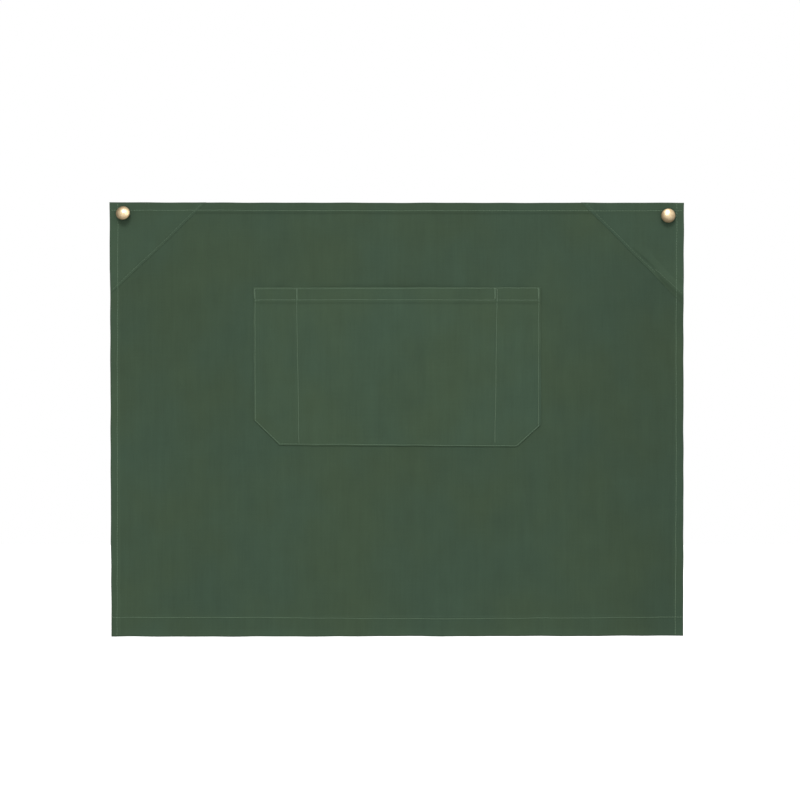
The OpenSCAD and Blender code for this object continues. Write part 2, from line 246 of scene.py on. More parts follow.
def patch_rise(side, x, z):
    """How far a patch's face stands in front of the panel. The right patch was sewn with a tuck along its lower half."""
    s, q = patch_s(side, x, z)
    k = q / math.hypot(*PATCH[side])
    u = s - patch_seam_in(side, q)
    groove = bell(u, 0.65)
    if side < 0:
        rise = 0.33 + 0.05 * ripple(q, 21, (15.0, 24.0, 33.0)) * bell(u - 1, 8)
    else:
        ridge = 2.1 - 2.3 * sstep(0.66, 0.78, k)
        foot = -0.3 - 5.8 * sstep(0.64, 0.80, k)
        tall = 0.60 * sstep(0.42, 0.60, k) + 0.95 * sstep(0.66, 0.80, k)
        tall = tall * (1 - 0.30 * sstep(0.94, 1.0, k))
        tuck = np.where(u > ridge, sstep(9.5, 0.0, u - ridge), sstep(foot, ridge, u))
        rise = 0.37 + tall * tuck + 0.05 * ripple(q, 23, (15.0, 24.0, 33.0)) * bell(u - 1, 8)
        # a soft drag line from below the button down to the side seam
        a, b = np.array([268.0, -47.0]), np.array([294.0, -81.0])
        ab = (b - a) / np.hypot(*(b - a))
        along_ = (x - a[0]) * ab[0] + (z - a[1]) * ab[1]
        across = (x - a[0]) * ab[1] - (z - a[1]) * ab[0]
        rise = rise - 0.62 * bell(across, 4.6) * sstep(-14, 12, along_) * (1 - sstep(30, 46, along_)) * sstep(0.5, 0.62, k)
        rise = np.maximum(rise, 0.26)
        groove = groove * (1 - 0.8 * sstep(0.6, 0.75, k))
    near = button_clear(x, z, 12)
    rise = 0.45 * (1 - near) + rise * near
    return np.maximum(rise - 0.10 * groove * near, 0.22)


def patch_front(side, x, z):
    return panel_front(x, z) - patch_rise(side, x, z)


# pocket ---------------------------------------------------------
def div_l(z):
    return -DIV_L + DIV_LEAN * np.clip((PZT - z) / (PZT - PZL), 0, 1)


def div_r(z):
    return DIV_R - DIV_LEAN * np.clip((PZT - z) / (PZT - PZL), 0, 1)


def pocket_base(x):
    a = PZL - PSLOPE * (x - PX0) / (PX1 - PX0)
    b = PZL + CUT_L - (x - PX0)
    c = PZL - PSLOPE + CUT_R * CUT_R_K - (PX1 - x) * CUT_R_K
    return np.maximum(a, np.maximum(b, c))


def pocket_in(x, z):
    """Distance in from the sewn edge: the sides, the cut corners and the bottom."""
    d = np.minimum(x - PX0, PX1 - x)
    d = np.minimum(d, z - (PZL - PSLOPE * (x - PX0) / (PX1 - PX0)))
    d = np.minimum(d, (z - (PZL + CUT_L - (x - PX0))) / math.sqrt(2))
    k = math.hypot(1, CUT_R_K)
    return np.minimum(d, (z - (PZL - PSLOPE + CUT_R * CUT_R_K - (PX1 - x) * CUT_R_K)) / k)


def pocket_gape(x, z):
    """How far the pocket hangs open: most at the middle of each mouth, none at its seams."""
    l, r = div_l(z), div_r(z)
    v = np.clip((PZT - z) / (PZT - pocket_base(x) - 6), 0, 1)
    fall = np.cos(v * math.pi / 2) ** 0.9

    def span(a, b, p):
        s = np.clip((x - a) / (b - a), 0, 1)
        return np.sin(math.pi * s) ** p

    mid = 4.9 * span(l, r, 1.2) * (0.35 + 0.65 * fall) * fall
    low = 1.9 * span(PX0 + 3, l, 1.4) * fall
    high = 2.0 * span(r, PX1 - 3, 1.4) * fall
    g = np.where(x < l, low, np.where(x < r, mid, high))
    e = np.clip(pocket_in(x, z) - 3, 0, None)
    dv = np.minimum(abs(x - l), abs(x - r))
    swell = 0.22 * np.sin(TAU * x / 73 + 0.6) * np.sin(TAU * z / 97 + 0.4) + 0.12 * np.sin(TAU * (x + 0.6 * z) / 41)
    g = g + (0.10 + swell * ((x > l) & (x < r))) * sstep(0, 16, e) * sstep(0, 14, dv)
    return np.maximum(0, g) * sstep(0, 6, e)


def mouth_hem(x, z, a=0.4):
    return 1 - sstep(MOUTH_HEM - a, MOUTH_HEM + a, PZT - z)


def pocket_rise(x, z):
    """How far the pocket's face stands in front of the panel."""
    dv = np.minimum(abs(x - div_l(z)), abs(x - div_r(z)))
    flat = 0.72 - 0.16 * bell(dv, 4.0)
    return flat + 0.44 * (1 - sstep(MOUTH_HEM - 0.9, MOUTH_HEM + 2.2, PZT - z)) + pocket_gape(x, z)


def pocket_thick(x, z):
    turn = 1 - sstep(TURN - 0.3, TURN + 0.3, pocket_in(x, z))
    return np.maximum(T + 0.20 * turn, T + 0.50 * mouth_hem(x, z))


TACKS = (PX0 + 1.25, -DIV_L + 0.4, DIV_R - 2.2, PX1 - 2.5)


def pocket_dips(x, z):
    t = PZT - z
    d = pocket_in(x, z)
    m = 0.10 * bell(d - EDGE_SEAM, 0.65) * sstep(MOUTH_SEAM - 2, MOUTH_SEAM, t)
    m = np.maximum(m, 0.09 * np.maximum(bell(t - 1.5, 0.6), bell(t - MOUTH_SEAM, 0.65)))
    dv = np.minimum(abs(x - div_l(z)), abs(x - div_r(z)))
    m = np.maximum(m, 0.10 * bell(dv, 0.8))
    # the bartacks pull the cloth in beside them
    tack = np.min([abs(x - c) for c in TACKS], axis=0)
    pull = sstep(0, 1.2, t) * (1 - sstep(11.5, 13, t))
    return m + 0.22 * bell(tack - 1.2, 0.7) * pull


def pocket_pucker(x, z):
    d = pocket_in(x, z)
    t = PZT - z
    w = 0.05 * ripple(z, 31, (11.0, 15.0, 21.0)) * (bell(x - div_l(z), 7) + bell(x - PX0 - 2, 6))
    w += 0.05 * ripple(z, 33, (11.0, 15.0, 21.0)) * (bell(x - div_r(z), 7) + bell(PX1 - 2 - x, 6))
    w += 0.045 * ripple(x, 35, (12.0, 17.0, 26.0)) * (bell(t - MOUTH_SEAM, 6) + bell(d - 2, 7) * (t > 100))
    return w * sstep(0, 1.2, d)


def pocket_inner(x, z):
    return panel_front(x, z) - np.maximum(pocket_rise(x, z) - pocket_thick(x, z), 0.015)


def pocket_front(x, z):
    return panel_front(x, z) - pocket_rise(x, z) + pocket_dips(x, z) + pocket_pucker(x, z)


# the outermost cloth, front and back, which the thread lies on ---
def outer_front(x, z):
    y = panel_front(x, z)
    for side in (-1, 1):
        s, q = patch_s(side, x, z)
        y = np.where(s + patch_edge_wander(side, q) > 0.2, patch_front(side, x, z), y)
    inside = (x > PX0) & (x < PX1) & (z < PZT) & (z > pocket_base(x))
    return np.where(inside, pocket_front(x, z), y)


def outer_back(x, z):
    return panel_front(x, z) + panel_thick(x, z)


def lay_out(x, z):
    """The cut edges aren't quite square: the small real differences in the outline."""
    k = (x + HW) / (2 * HW)
    d = -z / H
    xl = -HW - 1.1 + 1.6 * d + 0.16 * ripple(z, 41, (37.0, 61.0, 95.0))
    xr = HW + 0.55 - 0.4 * d + 0.16 * ripple(z, 43, (37.0, 61.0, 95.0))
    zt = 0.5 - 0.4 * k + 0.13 * ripple(x, 45, (41.0, 73.0, 120.0))
    zb = -H - 0.6 + 0.9 * k + 0.16 * ripple(x, 47, (41.0, 73.0, 120.0))
    return xl + (xr - xl) * k, zt + (zb - zt) * d


# ---------------------------------------------------------------- meshes
def make_object(name, co_mm, faces, material, smooth=True):
    me = bpy.data.meshes.new(name)
    co = np.asarray(co_mm, float) * MM
    flat = [len(f) for f in faces] if not isinstance(faces, np.ndarray) else None
    if flat is None:
        n, k = faces.shape
        me.vertices.add(len(co))
        me.vertices.foreach_set("co", co.ravel())
        me.loops.add(n * k)
        me.loops.foreach_set("vertex_index", faces.astype(np.int32).ravel())
        me.polygons.add(n)
        me.polygons.foreach_set("loop_start", np.arange(0, n * k, k, dtype=np.int32))
        me.polygons.foreach_set("loop_total", np.full(n, k, np.int32))
    else:
        me.from_pydata(co.tolist(), [], faces)
    me.update(calc_edges=True)
    me.validate()
    me.polygons.foreach_set("use_smooth", [smooth] * len(me.polygons))
    me.materials.append(material)
    o = bpy.data.objects.new(name, me)
    bpy.context.scene.collection.objects.link(o)
    return o


def set_values(o, key, values):
    a = o.data.attributes.new(key, "FLOAT", "POINT")
    a.data.foreach_set("value", np.asarray(values, np.float32).ravel())


def two_faced(name, X, Z, YF, YB, material, lay=True, values=None):
    """A closed sheet from its front and back faces, which meet round the boundary. Rows run down, columns to the right."""
    nj, ni = X.shape
    inner = np.zeros((nj, ni), bool)
    inner[1:-1, 1:-1] = True
    front = np.arange(nj * ni).reshape(nj, ni)
    back = front.copy()
    back[inner] = nj * ni + np.arange(inner.sum())
    if lay:
        X, Z = lay_out(X, Z)
    co = np.concatenate(
        [np.stack([X, YF, Z], -1).reshape(-1, 3), np.stack([X[inner], YB[inner], Z[inner]], -1)]
    )

    def quads(g, flip):
        a, b, c, d = g[:-1, :-1], g[:-1, 1:], g[1:, 1:], g[1:, :-1]
        q = np.stack([a, d, c, b] if flip else [a, b, c, d], -1)
        return q.reshape(-1, 4)

    o = make_object(name, co, np.concatenate([quads(front, True), quads(back, False)]), material)
    for key, v in (values or {}).items():
        set_values(o, key, np.concatenate([v.ravel(), v[inner]]))
    return o


def fine_lines(length, first, last, step):
    """Positions from 0 to length: fine ones given from each end, and even ones between."""
    first, last = sorted(first), sorted(last)
    a, b = first[-1], length - last[-1]
    n = max(2, round((b - a) / step))
    mid = np.linspace(a, b, n + 1)
    return np.concatenate([first, mid[1:-1], length - np.array(last[::-1])])


ROLL = [0, 0.03, 0.1, 0.2, 0.34, 0.5, 0.7, 1.1, 1.8]


# ---------------------------------------------------------------- materials
def shader(name):
    m = bpy.data.materials.new(name)
    m.use_nodes = True
    nt = m.node_tree
    nt.nodes.clear()
    out = nt.nodes.new("ShaderNodeOutputMaterial")
    bsdf = nt.nodes.new("ShaderNodeBsdfPrincipled")
    nt.links.new(bsdf.outputs[0], out.inputs[0])
    return m, nt, bsdf


class N:
    """Short calls for building a node tree."""

    def __init__(self, nt):
        self.nt = nt
        self.tc = nt.nodes.new("ShaderNodeTexCoord")
        self.p = self.vec("SCALE", self.tc.outputs["Object"], scale=1000.0)

    def _in(self, socket, v):
        if hasattr(v, "is_output"):
            self.nt.links.new(v, socket)
        elif v is not None:
            socket.default_value = v

    def math(self, op, a, b=None, c=None, clamp=False):
        n = self.nt.nodes.new("ShaderNodeMath")
        n.operation, n.use_clamp = op, clamp
        for i, v in enumerate((a, b, c)):
            if v is not None:
                self._in(n.inputs[i], v)
        return n.outputs[0]

    def vec(self, op, a, b=None, scale=None):
        n = self.nt.nodes.new("ShaderNodeVectorMath")
        n.operation = op
        self._in(n.inputs[0], a)
        if b is not None:
            self._in(n.inputs[1], b)
        if scale is not None:
            self._in(n.inputs["Scale"], scale)
        return n.outputs["Value"] if op == "DOT_PRODUCT" else n.outputs[0]

    def noise(self, stretch, detail=2.0, rough=0.5, p=None, distort=0.0):
        n = self.nt.nodes.new("ShaderNodeTexNoise")
        n.noise_dimensions = "3D"
        self._in(n.inputs["Vector"], self.vec("MULTIPLY", p or self.p, stretch))
        n.inputs["Scale"].default_value = 1.0
        n.inputs["Detail"].default_value = detail
        n.inputs["Roughness"].default_value = rough
        n.inputs["Distortion"].default_value = distort
        return n.outputs["Fac"]

    def mix(self, fac, a, b, mode="MIX"):
        n = self.nt.nodes.new("ShaderNodeMix")
        n.data_type, n.blend_type = "RGBA", mode
        self._in(n.inputs["Factor"], fac)
        self._in(n.inputs["A"], a)
        self._in(n.inputs["B"], b)
        return n.outputs["Result"]

    def ramp(self, v, lo, hi, a=0.0, b=1.0):
        n = self.nt.nodes.new("ShaderNodeMapRange")
        n.interpolation_type = "SMOOTHSTEP"
        self._in(n.inputs["Value"], v)
        for k, x in (("From Min", lo), ("From Max", hi), ("To Min", a), ("To Max", b)):
            n.inputs[k].default_value = x
        return n.outputs[0]

    def attribute(self, name):
        n = self.nt.nodes.new("ShaderNodeAttribute")
        n.attribute_name = name
        return n.outputs["Fac"]

    def bump(self, height, distance, strength=1.0, normal=None):
        n = self.nt.nodes.new("ShaderNodeBump")
        n.inputs["Strength"].default_value = strength
        n.inputs["Distance"].default_value = distance
        self._in(n.inputs["Height"], height)
        if normal is not None:
            self._in(n.inputs["Normal"], normal)
        return n.outputs[0]


def twill_material(name, colour, shift=(0.0, 0.0, 0.0), attributes=True):
    """Cotton twill: slanting wales, single yarns, slubs, soft changes of tone, and lighter rubbed folds; painted shade
    from the shade and ply attributes darkens rolled edges and the panel's lower right.
    """
    m, nt, bsdf = shader(name)
    n = N(nt)
    p = n.vec("ADD", n.p, shift)
    # yarns bend a little, so the wales aren't ruled lines
    bend = n.noise((0.09, 0.09, 0.09), 2.0, 0.5, p)
    u = n.vec("DOT_PRODUCT", p, (0.848, 0.0, -0.530))
    u = n.math("ADD", u, n.math("MULTIPLY", bend, 0.9))
    wale = n.math("SINE", n.math("MULTIPLY", u, TAU / 0.86))
    v = n.vec("DOT_PRODUCT", p, (0.30, 0.0, 0.954))
    yarn = n.math("SINE", n.math("MULTIPLY", n.math("ADD", v, n.math("MULTIPLY", bend, 0.5)), TAU / 0.52))
    weave = n.math("MULTIPLY_ADD", wale, 0.36, 0.5)
    weave = n.math("MULTIPLY_ADD", yarn, 0.14, weave)
    warp = n.noise((1.5, 0.4, 0.035), 3.0, 0.6, p)
    weft = n.noise((0.03, 0.4, 1.3), 3.0, 0.6, p)
    fleck = n.noise((2.6, 2.6, 2.6), 2.0, 0.6, p)
    tone = n.noise((0.0065, 0.0065, 0.0048), 4.0, 0.55, p)
    mottle = n.noise((0.055, 0.055, 0.032), 4.0, 0.6, p)
    streak = n.noise((0.16, 0.16, 0.0075), 3.0, 0.6, p)
    hue = n.noise((0.011, 0.011, 0.009), 3.0, 0.5, n.vec("ADD", p, (370.0, 0.0, 120.0)))
    k = n.math("MULTIPLY_ADD", n.math("SUBTRACT", weave, 0.5), 0.22, 1.0)
    k = n.math("MULTIPLY_ADD", n.math("SUBTRACT", warp, 0.5), 0.20, k)
    k = n.math("MULTIPLY_ADD", n.math("SUBTRACT", weft, 0.5), 0.13, k)
    k = n.math("MULTIPLY_ADD", n.math("SUBTRACT", fleck, 0.5), 0.13, k)
    k = n.math("MULTIPLY_ADD", n.math("SUBTRACT", tone, 0.5), 0.20, k)
    k = n.math("MULTIPLY_ADD", n.math("SUBTRACT", mottle, 0.5), 0.23, k)
    k = n.math("MULTIPLY_ADD", n.math("SUBTRACT", streak, 0.5), 0.17, k)
    c = np.array(colour)
    cool = tuple(c * np.array([0.955, 1.0, 1.075])) + (1.0,)
    warm = tuple(c * np.array([1.025, 1.0, 0.955])) + (1.0,)
    base = n.mix(n.ramp(hue, 0.30, 0.70), cool, warm)
    base = n.vec("SCALE", base, scale=k)
    if attributes:
        wear = n.attribute("wear")
        worn = n.math("MULTIPLY", wear, n.ramp(n.noise((0.35, 0.35, 0.35), 3.0, 0.6, p), 0.32, 0.72))
        base = n.mix(n.math("MULTIPLY", worn, 0.42, clamp=True), base, tuple(c * 1.9 + 0.012) + (1.0,))
        # painted shade: the shade attribute darkens the colour towards a third of its tone
        shade = n.attribute("shade")
        base = n.mix(n.math("MULTIPLY", shade, 0.55, clamp=True), base, tuple(c * 0.30) + (1.0,))
        # the ply attribute scales the tone: lighter side hems, and painted shade darker towards the panel's lower right
        base = n.vec("SCALE", base, scale=n.math("MULTIPLY_ADD", n.attribute("ply"), 0.09, 1.0))
    nt.links.new(base, bsdf.inputs["Base Color"])
    nt.links.new(n.math("MULTIPLY_ADD", fleck, 0.16, 0.80), bsdf.inputs["Roughness"])
    h = n.math("MULTIPLY_ADD", weave, 0.55, n.math("MULTIPLY", warp, 0.55))
    h = n.math("MULTIPLY_ADD", weft, 0.40, h)
    h = n.math("MULTIPLY_ADD", fleck, 0.30, h)
    nt.links.new(n.bump(h, 0.00009, 0.55), bsdf.inputs["Normal"])
    bsdf.inputs["Specular IOR Level"].default_value = 0.22
    bsdf.inputs["Sheen Weight"].default_value = 0.18
    bsdf.inputs["Sheen Roughness"].default_value = 0.45
    bsdf.inputs["Sheen Tint"].default_value = (0.62, 0.75, 0.64, 1.0)
    return m


def thread_material(name, colour):
    """Spun polyester thread: a twisted two-ply with small changes of tone along it."""
    m, nt, bsdf = shader(name)
    n = N(nt)
    ply = n.math("SINE", n.math("MULTIPLY", n.vec("DOT_PRODUCT", n.p, (1.0, 0.5, 0.8)), TAU / 0.55))
    fleck = n.noise((1.8, 1.8, 1.8), 2.0, 0.6)
    tone = n.noise((0.05, 0.05, 0.05), 3.0, 0.6)
    k = n.math("MULTIPLY_ADD", ply, 0.07, 1.0)
    k = n.math("MULTIPLY_ADD", n.math("SUBTRACT", fleck, 0.5), 0.35, k)
    k = n.math("MULTIPLY_ADD", n.math("SUBTRACT", tone, 0.5), 0.45, k)
    nt.links.new(n.vec("SCALE", tuple(colour), scale=k), bsdf.inputs["Base Color"])
    nt.links.new(n.math("MULTIPLY_ADD", fleck, 0.2, 0.52), bsdf.inputs["Roughness"])
    nt.links.new(n.bump(n.math("MULTIPLY_ADD", ply, 0.5, fleck), 0.00006, 0.6), bsdf.inputs["Normal"])
    bsdf.inputs["Specular IOR Level"].default_value = 0.35
    bsdf.inputs["Sheen Weight"].default_value = 0.25
    bsdf.inputs["Sheen Roughness"].default_value = 0.4
    return m


def brass_material(name, bright, dull, rough=0.30, wear=True):
    """Antique brass: satin, tarnished in the low places, rubbed brighter on the crown and rim, finely scratched."""
    m, nt, bsdf = shader(name)
    n = N(nt)
    cloud = n.noise((0.34, 0.34, 0.34), 4.0, 0.6)
    spot = n.noise((1.7, 1.7, 1.7), 3.0, 0.65)
    scratch = n.noise((5.5, 5.5, 0.55), 2.0, 0.6, distort=0.4)
    mask = n.ramp(cloud, 0.36, 0.66)
    if wear:
        w = n.attribute("wear")
        mask = n.math("SUBTRACT", n.math("MULTIPLY_ADD", mask, 0.55, w), 0.30, clamp=True)
    base = n.mix(mask, tuple(dull) + (1.0,), tuple(bright) + (1.0,))
    base = n.vec("SCALE", base, scale=n.math("MULTIPLY_ADD", n.ramp(spot, 0.25, 0.6), 0.16, 0.88))
    nt.links.new(base, bsdf.inputs["Base Color"])
    r = n.math("MULTIPLY_ADD", n.math("SUBTRACT", 1.0, mask), 0.16, rough)
    r = n.math("MULTIPLY_ADD", scratch, 0.12, n.math("SUBTRACT", r, 0.04))
    nt.links.new(r, bsdf.inputs["Roughness"])
    h = n.math("MULTIPLY_ADD", scratch, 0.5, spot)
    nt.links.new(n.bump(h, 0.00003, 0.35), bsdf.inputs["Normal"])
    bsdf.inputs["Metallic"].default_value = 1.0
    return m


GREEN = (0.0413, 0.0712, 0.0405)
mat_panel = twill_material("panel_twill", GREEN)
mat_pocket = twill_material("pocket_twill", tuple(v * 1.105 for v in GREEN), (713.0, 0.0, 291.0))
mat_patch = twill_material("patch_twill", tuple(v * 1.045 for v in GREEN), (-457.0, 0.0, 83.0))
mat_thread = thread_material("seam_thread", (0.104, 0.173, 0.102))
mat_tack_thread = thread_material("bartack_thread", (0.116, 0.190, 0.114))
mat_cap = brass_material("cap_brass", (0.94, 0.74, 0.46), (0.55, 0.39, 0.21), 0.26)
mat_brass = brass_material("shank_brass", (0.80, 0.62, 0.38), (0.42, 0.31, 0.18), 0.34, wear=False)
mat_tack = brass_material("tack_brass", (0.80, 0.63, 0.40), (0.45, 0.34, 0.20), 0.33)
mat_core = brass_material("core_metal", (0.72, 0.73, 0.74), (0.45, 0.45, 0.44), 0.38, wear=False)

# ---------------------------------------------------------------- panel
left = ROLL + [2.8, 4.2, 5.5, 6.3, 6.8, 7.1, 7.4, 7.9, 8.6, 9.2, 9.4, 9.5, 9.6, 9.8, 10.4, 12.0]
right = ROLL + [2.8, 4.2, 5.6, 6.6, 7.2, 7.5, 7.7, 7.9, 8.3, 8.8, 9.2, 9.4, 9.5, 9.6, 9.8, 10.4, 12.0]
xs = fine_lines(2 * HW, left, right, 3.0) - HW
top = ROLL + [2.8, 4.4, 6.0, 7.1, 7.6, 8.0, 8.4, 8.9, 9.4, 9.85, 10.0, 10.15, 10.5, 11.0, 11.6, 12.2, 12.8, 14.0]
low = ROLL + [3.5, 6.5, 9.5, 12.5, 15.5, 17.8, 18.8, 19.2, 19.5, 19.8, 20.2, 20.7, 20.9, 21.0, 21.1, 21.5, 22.4, 24.5]
zs = -fine_lines(H, top, low, 3.0)
X, Z = np.meshgrid(xs, zs)
YF, YB = panel_sides(X, Z)
l, r, t, b = edges(X, Z)
e = np.minimum(np.minimum(l, r), np.minimum(t, b))
# painted shade: the cloth's colour is darkened along the panel's rolled outer edges
edge_shade = (1 - sstep(0.3, 1.5, e)) * 0.30
# the tone is a little lighter along the side hems; and painted shade: it darkens towards the panel's lower right,
# standing in for light falling off there
ply = np.maximum(1 - sstep(SIDE_HEM - 1, SIDE_HEM + 1, l), 1 - sstep(SIDE_HEM - 1, SIDE_HEM + 1, r))
ply = ply - 1.15 * sstep(150, 285, X) * sstep(0, 110, -Z)
step = bell(np.minimum(l, r) - SIDE_HEM, 0.6) + bell(t - TOP_HEM, 0.6) + bell(b - BOTTOM_HEM, 0.6)
wear_v = np.clip(0.22 * np.clip(step, 0, 1), 0, 1)
shade_v = np.clip(edge_shade, 0, 1)
panel = two_faced("apron_cloth", X, Z, YF, YB, mat_panel, values={"wear": wear_v, "shade": shade_v, "ply": ply})

# ---------------------------------------------------------------- patches
PATCH_OVER = 0.22  # the patch wraps round the panel's own folded edge


def make_patch(side, name):
    top_len, down = PATCH[side]
    n = math.hypot(top_len, down)
    depth = top_len * down / n  # from the slanting edge to the corner
    s_lines = np.concatenate(
        [
            [0, 0.03, 0.1, 0.2, 0.35, 0.6, 0.9, 1.2, 1.55, 1.9, 2.25, 2.7, 3.2, 3.8],
            np.linspace(4.5, 22, 24),
            np.linspace(23.5, depth - 0.6, 24),
            [depth - 0.2],
        ]
    )
    near = np.array([0, 0.05, 0.16, 0.33, 0.55, 0.85, 1.2, 1.7, 2.6, 4.0])
    mid_n = 64
    rows_x, rows_z = [], []
    for s in s_lines:
        # ends of the row, on the top edge and on the side edge, for the nominal triangle
        k = 1 - s / depth
        a = np.array([HW - top_len * k, 0.0])
        c = np.array([HW, -down * k])
        length = math.hypot(*(c - a))
        near_s = near * min(1.0, length * 0.45 / near[-1])
        d = np.concatenate([near_s, np.linspace(near_s[-1], length - near_s[-1], mid_n)[1:-1], (length - near_s)[::-1]])
        rows_x.append(a[0] + (c[0] - a[0]) * d / length)
        rows_z.append(a[1] + (c[1] - a[1]) * d / length)
    X, Z = side * np.array(rows_x), np.array(rows_z)
    S = np.repeat(s_lines[:, None], X.shape[1], 1)
    if side < 0:  # keep columns running to the right
        X, Z, S = X[:, ::-1], Z[:, ::-1], S[:, ::-1]
    top_d, side_d = -Z, HW - side * X
    eo = np.clip(np.minimum(top_d, side_d), 0, None)  # distance in from the apron's own edge
    q = patch_s(side, X, Z)[1]
    # the folded edge strays from a straight line
    push = patch_edge_wander(side, q) * (1 - sstep(2, 20, S))
    X = X - side * push * down / n
    Z = Z - push * top_len / n
    base = panel_front(X, Z)
    yf = patch_front(side, X, Z)
    yb = base - 0.012
    # the folded slanting edge
    rs = roll(S, 0.35)
    mid = (yf + yb) / 2
    yf, yb = mid + (yf - mid) * rs, mid + (yb - mid) * rs
    # the outer edges wrap round the apron's folded edge
    cy = base + panel_thick(X, Z) / 2
    yf = cy + (yf - cy) * roll(eo, 0.7 + PATCH_OVER)
    yb = cy + (yb - cy) * roll(np.clip(eo - PATCH_OVER, 0, None), 0.7)
    rim = np.zeros_like(X, bool)
    rim[0, :] = rim[-1, :] = rim[:, 0] = rim[:, -1] = True
    yb = np.where(rim, yf, yb)
    # and stand out past it
    X = X + side * PATCH_OVER * (1 - sstep(0, 6, side_d))
    Z = Z + PATCH_OVER * (1 - sstep(0, 6, top_d))
    wear_v = 0.30 * bell(S, 0.7)
    # painted shade: the patch's colour is darkened along the apron's rolled edge
    shade_v = np.clip((1 - sstep(0.2, 1.3, eo)) * 0.30, 0, 1)
    ply = 1 - sstep(SIDE_HEM - 1, SIDE_HEM + 1, side_d)
    return two_faced(name, X, Z, yf, yb, mat_patch, values={"wear": wear_v, "shade": shade_v, "ply": ply})


def orient(o):
    """Turns the faces outwards if the mesh came out inside out."""
    me = o.data
    me.calc_loop_triangles()
    co = np.zeros(len(me.vertices) * 3)
    me.vertices.foreach_get("co", co)
    co = co.reshape(-1, 3)
    tri = np.zeros(len(me.loop_triangles) * 3, np.int32)
    me.loop_triangles.foreach_get("vertices", tri)
    a, b, c = (co[tri.reshape(-1, 3)[:, i]] for i in range(3))
    if (np.cross(a, b) * c).sum() < 0:
        me.flip_normals()
    return o


left_patch = orient(make_patch(-1, "left_patch_cloth"))
right_patch = orient(make_patch(1, "right_patch_cloth"))

# ---------------------------------------------------------------- pocket
NEAR = [0, 0.03, 0.1, 0.2, 0.38, 0.6, 0.9, 1.2, 1.55, 1.9, 2.25, 2.7, 3.3, 4.3, 5.5, 6.6, 7.4, 7.7, 7.85, 8.15, 8.3, 8.7]


def pocket_columns(z):
    l, r = div_l(np.array(z)), div_r(np.array(z))
    side = [-8, -5, -3, -1.8, -1.0, -0.5, 0, 0.5, 1.0, 1.8, 3, 5, 8]
    out = list(PX0 + np.array(NEAR))
    out += list(np.linspace(PX0 + NEAR[-1], l - 8, 11)[1:-1])
    out += list(l + np.array(side))
    out += list(np.linspace(l + 8, r - 8, 66)[1:-1])
    out += list(r + np.array(side))
    out += list(np.linspace(r + 8, PX1 - NEAR[-1], 11)[1:-1])
    out += list(PX1 - np.array(NEAR[::-1]))
    return out


mouth = [0, 0.03, 0.09, 0.18, 0.3, 0.43, 0.56, 0.8, 1.1, 1.5, 1.9, 2.5, 4.0, 6.0, 8.0, 10.0, 11.6, 12.4, 12.9, 13.2, 13.5, 14.0, 14.7]
mouth += [15.2, 15.6, 15.85, 16.0, 16.15, 16.4, 16.8, 17.3, 17.9, 18.6, 20.0]
zlow = PZL + 36
rows = [PZT - m for m in mouth] + list(np.linspace(PZT - mouth[-1], zlow, 38)[1:])
BASE_OFF = [0, 0.04, 0.12, 0.26, 0.42, 0.7, 1.1, 1.6, 1.9, 2.2, 2.55, 3.0, 3.7, 4.7, 6.0, 7.0, 7.7, 8.3]
X = np.array([pocket_columns(z) for z in rows])
Z = np.array([[z] * X.shape[1] for z in rows])
bx = X[-1]
base_z = pocket_base(bx)
upper = base_z + BASE_OFF[-1]
for q in np.linspace(0, 1, 10)[1:-1]:
    X = np.vstack([X, bx])
    Z = np.vstack([Z, zlow + (upper - zlow) * q])
for d in BASE_OFF[::-1]:
    X = np.vstack([X, bx])
    Z = np.vstack([Z, base_z + d])
yf, yb = pocket_front(X, Z), pocket_inner(X, Z)
# the folded edges: one turn at the sides and bottom, two at the mouth
d_in = np.clip(pocket_in(X, Z), 0, None)
t_in = np.clip(PZT - Z, 0, None)
mid = (yf + yb) / 2
rho = roll(d_in, 0.38) * roll(t_in, 0.55)
yf, yb = mid + (yf - mid) * rho, mid + (yb - mid) * rho
rim = np.zeros_like(X, bool)
rim[0, :] = rim[-1, :] = rim[:, 0] = rim[:, -1] = True
ym = (yf + yb) / 2
yf, yb = np.where(rim, ym, yf), np.where(rim, ym, yb)
wear_v = np.clip(0.30 * bell(d_in, 0.8) + 0.42 * bell(t_in, 0.9), 0, 1)
pocket = two_faced(
    "pocket_cloth", X, Z, yf, yb, mat_pocket, values={"wear": wear_v, "shade": np.zeros_like(X), "ply": np.zeros_like(X)}
)
orient(panel)
orient(pocket)


# ---------------------------------------------------------------- seams
def along(points, step=1.0):
    """Even points along a path of (x, z)."""
    p = np.array(points, float)
    seg = np.hypot(*np.diff(p, axis=0).T)
    s = np.concatenate([[0], np.cumsum(seg)])
    return s[-1], lambda t: np.stack([np.interp(t, s, p[:, 0]), np.interp(t, s, p[:, 1])], -1)


